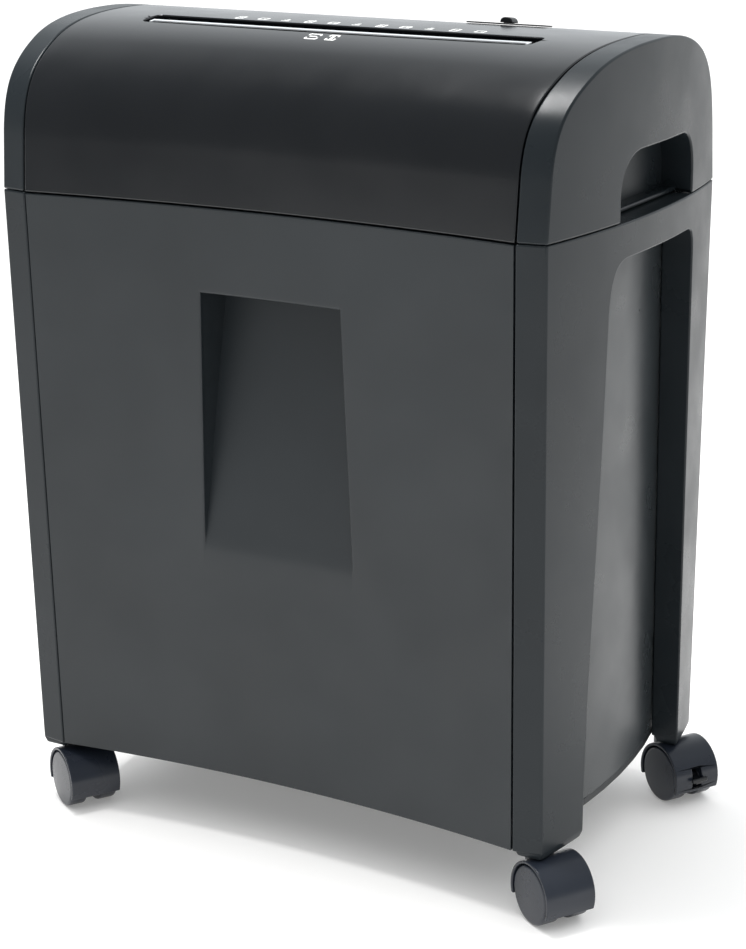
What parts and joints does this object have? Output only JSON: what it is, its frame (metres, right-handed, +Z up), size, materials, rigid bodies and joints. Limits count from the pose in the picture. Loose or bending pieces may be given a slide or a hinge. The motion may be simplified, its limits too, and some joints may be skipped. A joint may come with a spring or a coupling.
{
  "type": "paper shredder",
  "caption": "Freestanding paper shredder: vaulted glossy head over a tapered cabinet with swelling sides, pull-out bin and twin-wheel casters.",
  "frame": {"origin": "middle of the bounding box in plan, at floor level under the casters", "axes": "+Z up, front with the pull-out bin facing -Y, +X towards the right-hand side seen from the front; the paper slot runs along X"},
  "size_m": [0.3848, 0.2362, 0.4859],
  "materials": {
    "charcoal_shell": "satin moulded, fine texture",
    "grey_panel": "satin moulded, fine texture",
    "gloss_cover": "high gloss moulded",
    "black_trim": "smooth satin",
    "bin_plastic": "matte moulded",
    "caster_plastic": "smooth satin",
    "nylon": "natural, slightly waxy",
    "board": "lacquered circuit board",
    "rubber_bush": "matte",
    "plated_steel": "zinc plated",
    "tool_steel": "oiled, ground",
    "motor_steel": "plain steel can"
  },
  "bodies": {
    "cabinet": {"side_frame_right": "charcoal_shell", "side_frame_left": "charcoal_shell", "side_wall_right": "bin_plastic", "side_wall_left": "bin_plastic", "rear_panel": "grey_panel", "base_plate": "bin_plastic", "bin_runner_left": "nylon", "bin_runner_right": "nylon", "top_cover": "gloss_cover", "end_cap_right": "charcoal_shell", "end_cap_left": "charcoal_shell", "head_tray": "black_trim", "throat_guide": "black_trim", "switch_plate": "black_trim", "stripper_comb_front": "bin_plastic", "stripper_comb_rear": "bin_plastic", "reduction_pin": "plated_steel", "motor": "motor_steel", "cutter_plate_left": "plated_steel", "cutter_plate_right": "plated_steel", "tie_rod_front": "plated_steel", "tie_rod_rear": "plated_steel", "circuit_board": "board", "cord_gland": "rubber_bush", "reed_switch": "black_trim"},
    "bin": {"bin_front_panel": "grey_panel", "bin_tub": "bin_plastic", "bin_magnet": "motor_steel"},
    "mode_knob": {"mode_switch_knob": "black_trim"},
    "cutter_rear": {"cutter_roller_rear": "tool_steel", "main_gear": "nylon", "sync_gear_rear": "tool_steel"},
    "cutter_front": {"cutter_roller_front": "tool_steel", "sync_gear_front": "tool_steel"},
    "reduction": {"reduction_gear": "nylon"},
    "motor_rotor": {"motor_pinion": "plated_steel"},
    "caster_front_left": {"caster_hood_front_left": "caster_plastic", "caster_stem_front_left": "plated_steel", "caster_axle_front_left": "plated_steel"},
    "wheel_inner_front_left": {"caster_wheel_inner_front_left": "caster_plastic"},
    "wheel_outer_front_left": {"caster_wheel_outer_front_left": "caster_plastic"},
    "caster_front_right": {"caster_hood_front_right": "caster_plastic", "caster_stem_front_right": "plated_steel", "caster_axle_front_right": "plated_steel"},
    "wheel_inner_front_right": {"caster_wheel_inner_front_right": "caster_plastic"},
    "wheel_outer_front_right": {"caster_wheel_outer_front_right": "caster_plastic"},
    "caster_rear_left": {"caster_hood_rear_left": "caster_plastic", "caster_stem_rear_left": "plated_steel", "caster_axle_rear_left": "plated_steel"},
    "wheel_inner_rear_left": {"caster_wheel_inner_rear_left": "caster_plastic"},
    "wheel_outer_rear_left": {"caster_wheel_outer_rear_left": "caster_plastic"},
    "brake_rear_left": {"brake_lever_rear_left": "black_trim"},
    "caster_rear_right": {"caster_hood_rear_right": "caster_plastic", "caster_stem_rear_right": "plated_steel", "caster_axle_rear_right": "plated_steel"},
    "wheel_inner_rear_right": {"caster_wheel_inner_rear_right": "caster_plastic"},
    "wheel_outer_rear_right": {"caster_wheel_outer_rear_right": "caster_plastic"},
    "brake_rear_right": {"brake_lever_rear_right": "black_trim"}
  },
  "joints": [
    {"name": "bin_slide", "type": "slide", "parent": "cabinet", "child": "bin", "axis": [0, -1, 0], "range_m": [0, 0.24]},
    {"name": "mode_slide", "type": "slide", "parent": "cabinet", "child": "mode_knob", "axis": [1, 0, 0], "range_m": [-0.006, 0.006]},
    {"name": "cutter_rear_spin", "type": "hinge", "parent": "cabinet", "child": "cutter_rear", "pos_m": [-0.00691, -0.01361, 0.424], "axis": [1, 0, 0], "continuous": true},
    {"name": "cutter_front_spin", "type": "hinge", "parent": "cabinet", "child": "cutter_front", "pos_m": [-0.00691, -0.04961, 0.424], "axis": [1, 0, 0], "continuous": true},
    {"name": "reduction_spin", "type": "hinge", "parent": "cabinet", "child": "reduction", "pos_m": [0.12309, 0.01693, 0.43512], "axis": [1, 0, 0], "continuous": true},
    {"name": "motor_spin", "type": "hinge", "parent": "cabinet", "child": "motor_rotor", "pos_m": [0.11709, 0.04352, 0.43043], "axis": [1, 0, 0], "continuous": true},
    {"name": "swivel_front_left", "type": "hinge", "parent": "cabinet", "child": "caster_front_left", "pos_m": [-0.16891, -0.08661, 0.0172], "axis": [0, 0, 1], "continuous": true},
    {"name": "roll_inner_front_left", "type": "hinge", "parent": "caster_front_left", "child": "wheel_inner_front_left", "pos_m": [-0.15662, -0.09429, 0.0172], "axis": [0.5299, 0.848, 0], "continuous": true},
    {"name": "roll_outer_front_left", "type": "hinge", "parent": "caster_front_left", "child": "wheel_outer_front_left", "pos_m": [-0.15662, -0.09429, 0.0172], "axis": [0.5299, 0.848, 0], "continuous": true},
    {"name": "swivel_front_right", "type": "hinge", "parent": "cabinet", "child": "caster_front_right", "pos_m": [0.15509, -0.08661, 0.0172], "axis": [0, 0, 1], "continuous": true},
    {"name": "roll_inner_front_right", "type": "hinge", "parent": "caster_front_right", "child": "wheel_inner_front_right", "pos_m": [0.16738, -0.09429, 0.0172], "axis": [0.5299, 0.848, 0], "continuous": true},
    {"name": "roll_outer_front_right", "type": "hinge", "parent": "caster_front_right", "child": "wheel_outer_front_right", "pos_m": [0.16738, -0.09429, 0.0172], "axis": [0.5299, 0.848, 0], "continuous": true},
    {"name": "swivel_rear_left", "type": "hinge", "parent": "cabinet", "child": "caster_rear_left", "pos_m": [-0.16891, 0.09639, 0.0172], "axis": [0, 0, 1], "continuous": true},
    {"name": "roll_inner_rear_left", "type": "hinge", "parent": "caster_rear_left", "child": "wheel_inner_rear_left", "pos_m": [-0.15662, 0.08871, 0.0172], "axis": [0.5299, 0.848, 0], "continuous": true},
    {"name": "roll_outer_rear_left", "type": "hinge", "parent": "caster_rear_left", "child": "wheel_outer_rear_left", "pos_m": [-0.15662, 0.08871, 0.0172], "axis": [0.5299, 0.848, 0], "continuous": true},
    {"name": "brake_rear_left", "type": "hinge", "parent": "caster_rear_left", "child": "brake_rear_left", "pos_m": [-0.14644, 0.08235, 0.0172], "axis": [0.5299, 0.848, 0], "range_deg": [-20, 0]},
    {"name": "swivel_rear_right", "type": "hinge", "parent": "cabinet", "child": "caster_rear_right", "pos_m": [0.15509, 0.09639, 0.0172], "axis": [0, 0, 1], "continuous": true},
    {"name": "roll_inner_rear_right", "type": "hinge", "parent": "caster_rear_right", "child": "wheel_inner_rear_right", "pos_m": [0.16738, 0.08871, 0.0172], "axis": [0.5299, 0.848, 0], "continuous": true},
    {"name": "roll_outer_rear_right", "type": "hinge", "parent": "caster_rear_right", "child": "wheel_outer_rear_right", "pos_m": [0.16738, 0.08871, 0.0172], "axis": [0.5299, 0.848, 0], "continuous": true},
    {"name": "brake_rear_right", "type": "hinge", "parent": "caster_rear_right", "child": "brake_rear_right", "pos_m": [0.17756, 0.08235, 0.0172], "axis": [0.5299, 0.848, 0], "range_deg": [-20, 0]}
  ],
  "couplings": [
    {"joint": "cutter_front_spin", "follows": "cutter_rear_spin", "ratio": -1},
    {"joint": "reduction_spin", "follows": "cutter_rear_spin", "ratio": -3.3333},
    {"joint": "motor_spin", "follows": "cutter_rear_spin", "ratio": 14.667}
  ]
}
